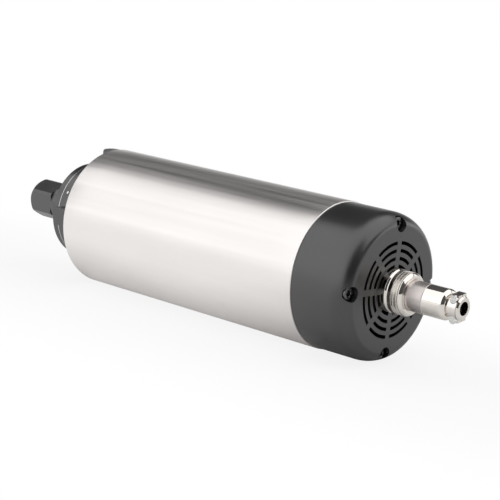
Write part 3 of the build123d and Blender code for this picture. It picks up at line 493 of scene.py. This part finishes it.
# %% Shaft
shaft_profile = [
    (-88.7, 0.0), (-90.2, 3.6), (-105.6, 3.6), (-105.6, 3.953), (-118.2, 5.724),
    (-118.2, 6.5), (-117.7, 7.0, "fine"), (-104.5, 7.0), (-104.5, 7.1), (-104.3, 7.3), (-93.0, 7.3),
    (-93.0, 9.0), (-82.4, 9.0), (-82.4, 7.5), (-64.4, 7.5), (-64.4, 7.4), (-59.0, 7.4),
    (-59.0, 7.0), (48.0, 7.0), (48.0, 6.0), (58.0, 6.0), (58.0, 4.0), (77.7, 4.0),
    (77.7, 2.05), (66.7, 2.05), (66.7, 0.0),
]
shaft_x, shaft_angle, shaft_radius = radius_table(shaft_profile, 160, 1.2, loop=False)
outside_taper = shaft_radius > 6.4
shaft_radius = shaft_radius - outside_taper * thread_depth(
    shaft_x, shaft_angle, start=-118.3, stop=-105.2, pitch=0.75, depth=0.42, run_out=0.4)
shaft_piece = turned_piece(
    "threaded_shaft", shaft_x, shaft_radius, "rotor", "shaft_steel", loop=False)
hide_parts("shaft")

# %% [markdown]
# ## Wrench ring
# A black ring behind the nut takes the second wrench. A flat is where the radius may not pass
# the distance of a plane, so the radius there is the smaller of the turned one and half the
# width over the flats divided by the sine of the angle. The sine is held away from 0, where the
# plane is far off and the ring is round.

# %% Wrench ring
flats_start, flats_stop, half_over_flats, turned = -100.45, -94.5, 8.0, 9.2
wrench_profile = [
    (-93.0, 7.3), (-105.6, 7.3), (-105.6, 8.9), (-105.48, 9.12), (-105.25, turned),
    (-100.5, turned), (flats_start, turned), (flats_stop, turned), (-94.45, turned),
    (-93.35, turned), (-93.1, 9.12), (-93.0, 8.9),
]
wrench_x, wrench_angle, wrench_radius = radius_table(wrench_profile, 240, 1.5)
flat_limit = half_over_flats / np.maximum(np.abs(np.sin(wrench_angle)), 0.2)
on_flats = ((wrench_radius > turned - margin)
            & (wrench_x > flats_start - margin) & (wrench_x < flats_stop + margin))
wrench_radius = np.where(on_flats, np.minimum(wrench_radius, flat_limit), wrench_radius)
wrench_piece = turned_piece("wrench_ring", wrench_x, wrench_radius, "rotor", "black_oxide")
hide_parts("wrench_collar")

# %% [markdown]
# ## Tube
# The tube is a plain sleeve whose ends are broken by a small round. On a mirror-like sweep a
# coarse mesh shows as flat strips, so it gets 288 columns, one for each degree and a quarter.

# %% Tube
tube_end, tube_outside, tube_inside = 70.0, 32.48, 31.25
lip = np.array([(0.0, -0.4), (0.03, -0.22), (0.12, -0.1), (0.25, -0.02), (0.42, 0.0)])
front_lip = [(-tube_end + inset, tube_outside + drop) for inset, drop in lip]
rear_lip = [(tube_end - inset, tube_outside + drop) for inset, drop in lip[::-1]]
tube_profile = [(-tube_end, tube_inside)] + front_lip + rear_lip + [(tube_end, tube_inside)]
tube_x, _, tube_radius = radius_table(tube_profile, 288, 12.0)
tube_piece = turned_piece("polished_tube", tube_x, tube_radius, "housing", "tube_steel")
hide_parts("outer_tube")

# %% [markdown]
# ## Shoulder of the rear cover
# The cover's solid is right but for one thing: behind the face, the corners of its four posts
# come 0.3 mm through the rounded shoulder. The scene's cover is the same surface, with every
# point held to the curve of the shoulder.


# %% The curve of the shoulder
def held_to_shoulder(points, start=90.0, length=9.0, radius=32.1, drop=5.2):
    """Holds the distance of points from the X axis, in millimetres, to the shoulder's curve.

    The shoulder is a quarter of an ellipse: past its start the radius falls by the drop times one
    less the root of one less the square of the share of the length. Also returns the curve's
    outward normals, and how far each point came beyond the curve."""
    share = np.clip((points[:, 0] - start) / length, 0.0, 0.9999)
    height = np.sqrt(1.0 - share * share)
    limit = radius - drop * (1.0 - height)
    distance = np.maximum(np.linalg.norm(points[:, 1:], axis=1), 1e-6)
    outward = points[:, 1:] / distance[:, None]
    held = np.column_stack((points[:, 0], outward * np.minimum(distance, limit)[:, None]))
    normals = np.column_stack((drop / length * share / height, outward))
    return held, normals / np.linalg.norm(normals, axis=1)[:, None], distance - limit


print("shoulder helper ready")

# %% [markdown]
# ## Rear cover
# A copy keeps the slots and wells, and the normals of the solid, which a new mesh would have to
# find again. The solid's mesh is loose triangles, so points in one place are merged. A triangle
# that was drawn in and now lies on the curve takes the curve's normals, and one that shrank to a
# line is left out.

# %% Rear cover
touch = 0.001
solid = frame["nodes"]["rear_cover"].data
places = np.empty((len(solid.vertices), 3), dtype=np.float32)
solid.vertices.foreach_get("co", places.ravel())
corners = np.empty(len(solid.loops), dtype=np.int32)
solid.loops.foreach_get("vertex_index", corners)
cover_normals = np.empty((len(corners), 3), dtype=np.float32)
solid.corner_normals.foreach_get("vector", cover_normals.ravel())

held, shoulder_normals, beyond = held_to_shoulder(places.astype(float) * 1000)
drawn_in = (beyond > touch)[corners].reshape(-1, 3).any(axis=1)
on_shoulder = (beyond > -touch)[corners].reshape(-1, 3).all(axis=1)
laid_down = np.repeat(drawn_in & on_shoulder, 3)
cover_normals[laid_down] = shoulder_normals[corners][laid_down]
merged, number = np.unique(np.round(held, 4), axis=0, return_inverse=True)
triangles = number.reshape(-1)[corners].reshape(-1, 3)
whole = (triangles != np.roll(triangles, 1, axis=1)).all(axis=1)

cover_mesh = bpy.data.meshes.new("ringed_cover")
cover_mesh.from_pydata((merged / 1000).tolist(), [], triangles[whole].tolist())
cover_mesh.polygons.foreach_set("use_smooth", np.ones(len(cover_mesh.polygons), dtype=bool))
cover_mesh.normals_split_custom_set(cover_normals[np.repeat(whole, 3)].tolist())
cover_mesh.materials.append(finishes["black_cover"])
ringed_cover = bpy.data.objects.new("ringed_cover", cover_mesh)
scene.collection.objects.link(ringed_cover)
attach(ringed_cover, "housing")
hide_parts("rear_cover")
print("ringed_cover", len(cover_mesh.polygons), "faces,", int(drawn_in.sum()), "drawn in")

# %% [markdown]
# ## Cover screws
# Socket head screws hold the cover, each on a spring washer in its well. The head has straight
# knurling round it. Its socket is a hexagon: the radius at an angle is half the width over the
# flats divided by the cosine of the angle from the middle of the nearest flat.

# %% Cover screws
screw_circle, head_start, head_radius = 27.8, 93.8, 2.75
grooves, groove_depth = 36, 0.09
socket_round, half_hexagon = 1.4, 1.25
screw_profile = [
    (41.0, 0.0), (41.0, 1.1), (41.4, 1.45), (92.8, 1.45), (92.8, 2.6), (92.95, 2.75), (93.5, 2.75),
    (93.65, 2.55), (head_start, 2.55), (head_start, head_radius), (96.5, head_radius),
    (96.72, 2.66), (96.8, 2.45), (96.8, 1.5), (96.65, socket_round), (95.3, socket_round),
    (94.9, 0.0),
]
screw_x, screw_angle, screw_radius = radius_table(screw_profile, 144, 6.0, loop=False)
sixth = math.pi / 3
from_flat = np.abs((screw_angle + sixth / 2) % sixth - sixth / 2)
in_socket = np.abs(screw_radius - socket_round) < margin
screw_radius = np.where(in_socket, half_hexagon / np.cos(from_flat), screw_radius)
on_head = (screw_radius > head_radius - margin) & (screw_x > head_start - margin)
groove = groove_depth * (1 - saw(grooves * screw_angle / (2 * math.pi)))
screw_radius = screw_radius - on_head * groove
cover_screws = turned_piece(
    "cover_screws", screw_x, screw_radius, "housing", "screw_steel", loop=False,
    centres=((screw_circle, 0.0), (0.0, screw_circle), (-screw_circle, 0.0), (0.0, -screw_circle)))
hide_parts("rear_cover_screws")

# %% [markdown]
# ## Floor
# The photograph has a plain white ground. A large flat floor glows to the camera, and less so
# close round the object, where its own shaded paper shows as a soft shadow. Metal mirrors the
# floor as well. It sees the glow in front of the object, less of it towards the tail and little
# behind, so that the underside of the tube turns grey and the cover stays dark.


# %% Floor
def flat_sheet(name, half_width, height, count=3):
    """A level square grid of count by count points at one height."""
    side = np.linspace(-half_width, half_width, count)
    across, along = np.meshgrid(side, side)
    points = np.column_stack((across.ravel(), along.ravel(), np.full(across.size, height)))
    number = np.arange(count * count).reshape(count, count)
    quads = np.stack((number[:-1, :-1], number[:-1, 1:], number[1:, 1:], number[1:, :-1]), axis=-1)
    mesh = bpy.data.meshes.new(name)
    mesh.from_pydata(points.tolist(), [], quads.reshape(-1, 4).tolist())
    sheet = bpy.data.objects.new(name, mesh)
    scene.collection.objects.link(sheet)
    return sheet


floor_half_width, floor_height = 4.0, -0.03252
floor = flat_sheet("studio_floor", floor_half_width, floor_height)
paper = start_finish("white_paper", 0.0, Roughness=0.9)
tint(paper, grain(paper, (300.0, 300.0, 300.0)), (0.8, 0.8, 0.8), (0.82, 0.82, 0.82))
glow = add_node(paper, "ShaderNodeEmission")
glow.inputs["Strength"].default_value = 1.0
ray = add_node(paper, "ShaderNodeLightPath").outputs
floor_place = add_node(paper, "ShaderNodeTexCoord").outputs["Object"]
floor_axes = add_node(paper, "ShaderNodeSeparateXYZ", [("Vector", floor_place)]).outputs
oval = add_node(paper, "ShaderNodeMapping", [("Vector", floor_place)])
oval.inputs["Scale"].default_value = (0.3, 1.0, 0.0)
length = add_node(paper, "ShaderNodeVectorMath", [(0, oval.outputs["Vector"])], operation="LENGTH")
distance = length.outputs["Value"]


def glow_math(operation, one, other):
    """The result of one Math node in the paper's tree, for two values."""
    node = add_node(paper, "ShaderNodeMath", [(0, one), (1, other)], operation=operation)
    return node.outputs["Value"]


def glow_share(value, rays, near, far, start, stop):
    """Share of glow that those rays see: from near to far with a soft step as the value grows."""
    share = spread(paper, value, near, far, start, stop)
    share.node.interpolation_type = "SMOOTHSTEP"
    return glow_math("MULTIPLY", share, rays)


camera_share = glow_share(distance, ray["Is Camera Ray"], 0.86, 1.0, 0.035, 0.13)
mirrored = glow_math("MAXIMUM", ray["Is Glossy Ray"], ray["Is Transmission Ray"])
tail_share = glow_share(floor_axes["X"], mirrored, 1.0, 0.2, -0.01, 0.09)
front_share = glow_share(floor_axes["Y"], tail_share, 1.0, 0.2, -0.06, 0.0)
far_share = glow_share(distance, mirrored, 0.0, 0.25, 0.1, 0.4)
mirror_share = glow_math("MAXIMUM", front_share, far_share)
any_share = glow_math("MAXIMUM", camera_share, mirror_share)
shaded_paper = paper.node_tree.nodes["Principled BSDF"].outputs[0]
blend = add_node(
    paper, "ShaderNodeMixShader", [("Fac", any_share), (1, shaded_paper), (2, glow.outputs[0])])
paper_surface = paper.node_tree.nodes["Material Output"].inputs["Surface"]
paper.node_tree.links.new(paper_surface, blend.outputs[0])
floor.data.materials.append(paper)
print("floor", 2 * floor_half_width, "m wide at", floor_height)

# %% [markdown]
# ## Softboxes
# Four large lamps light the object. The front one is the broad white field on the tube. Two hang
# overhead: one lights the top of the tube and the nose, and one beyond the tail draws the
# shoulder of the cover. The rear one reaches what faces away from the camera.


# %% Softboxes
def softbox(name, place, turn, width, height, radiance):
    """A rectangular lamp. Its power is radiance times pi times area."""
    lamp_data = bpy.data.lights.new(name, "AREA")
    lamp_data.shape = "RECTANGLE"
    lamp_data.size, lamp_data.size_y = width, height
    lamp_data.energy = radiance * math.pi * width * height
    lamp = bpy.data.objects.new(name, lamp_data)
    lamp.location, lamp.rotation_euler = place, turn
    lamp.visible_camera = False
    scene.collection.objects.link(lamp)


softbox("front_softbox", (-1.2, -1.6, 0.75), (math.radians(90), 0, 0), 3.2, 1.5, 1.24)
softbox("top_softbox", (-1.2, -0.8, 1.5), (0, 0, 0), 3.2, 1.6, 1.15)
softbox("side_softbox", (0.78, 0.5, 1.5), (0, 0, 0), 2.56, 2.0, 1.2)
softbox("rear_softbox", (1.5, 1.7, 0.9), (math.radians(-90), 0, 0), 2.4, 1.2, 1.0)
print("four softboxes")

# %% [markdown]
# ## Air of the studio
# The camera sees plain white. Metal sees pale walls behind the object, a nearly black ceiling,
# and dark walls in front: a lamp doesn't hide the world behind it from a mirrored ray, so pale
# walls there would add to the front softbox and turn the tube plain white.

# %% Air of the studio
world = bpy.data.worlds.new("studio_air")
scene.world = world
world.use_nodes = True
sky = world.node_tree.nodes["Background"]
ray_direction = add_node(world, "ShaderNodeTexCoord").outputs["Generated"]
upward = add_node(world, "ShaderNodeSeparateXYZ", [("Vector", ray_direction)])
ceiling_share = spread(world, upward.outputs["Z"], 0.0, 1.0, 0.05, 0.4)
ceiling_share.node.interpolation_type = "SMOOTHSTEP"
frontward = add_node(world, "ShaderNodeVectorMath", [(0, ray_direction)], operation="DOT_PRODUCT")
frontward.inputs[1].default_value = (0.0, -1.0, 0.0)
walls = spread(world, frontward.outputs["Value"], 0.95, 0.06, -0.1, 0.3)
air = add_node(world, "ShaderNodeMix", [("Factor", ceiling_share), ("A", walls)], data_type="FLOAT")
air.inputs["B"].default_value = 0.08
world.node_tree.links.new(sky.inputs["Color"], air.outputs["Result"])
white = add_node(world, "ShaderNodeBackground")
white.inputs["Color"].default_value = (1.0, 1.0, 1.0, 1.0)
to_camera = add_node(world, "ShaderNodeLightPath").outputs["Is Camera Ray"]
seen_air = add_node(
    world, "ShaderNodeMixShader", [("Fac", to_camera), (1, sky.outputs[0]), (2, white.outputs[0])])
world_surface = world.node_tree.nodes["World Output"].inputs["Surface"]
world.node_tree.links.new(world_surface, seen_air.outputs[0])
print("white air for the camera, walls and ceiling for metal")
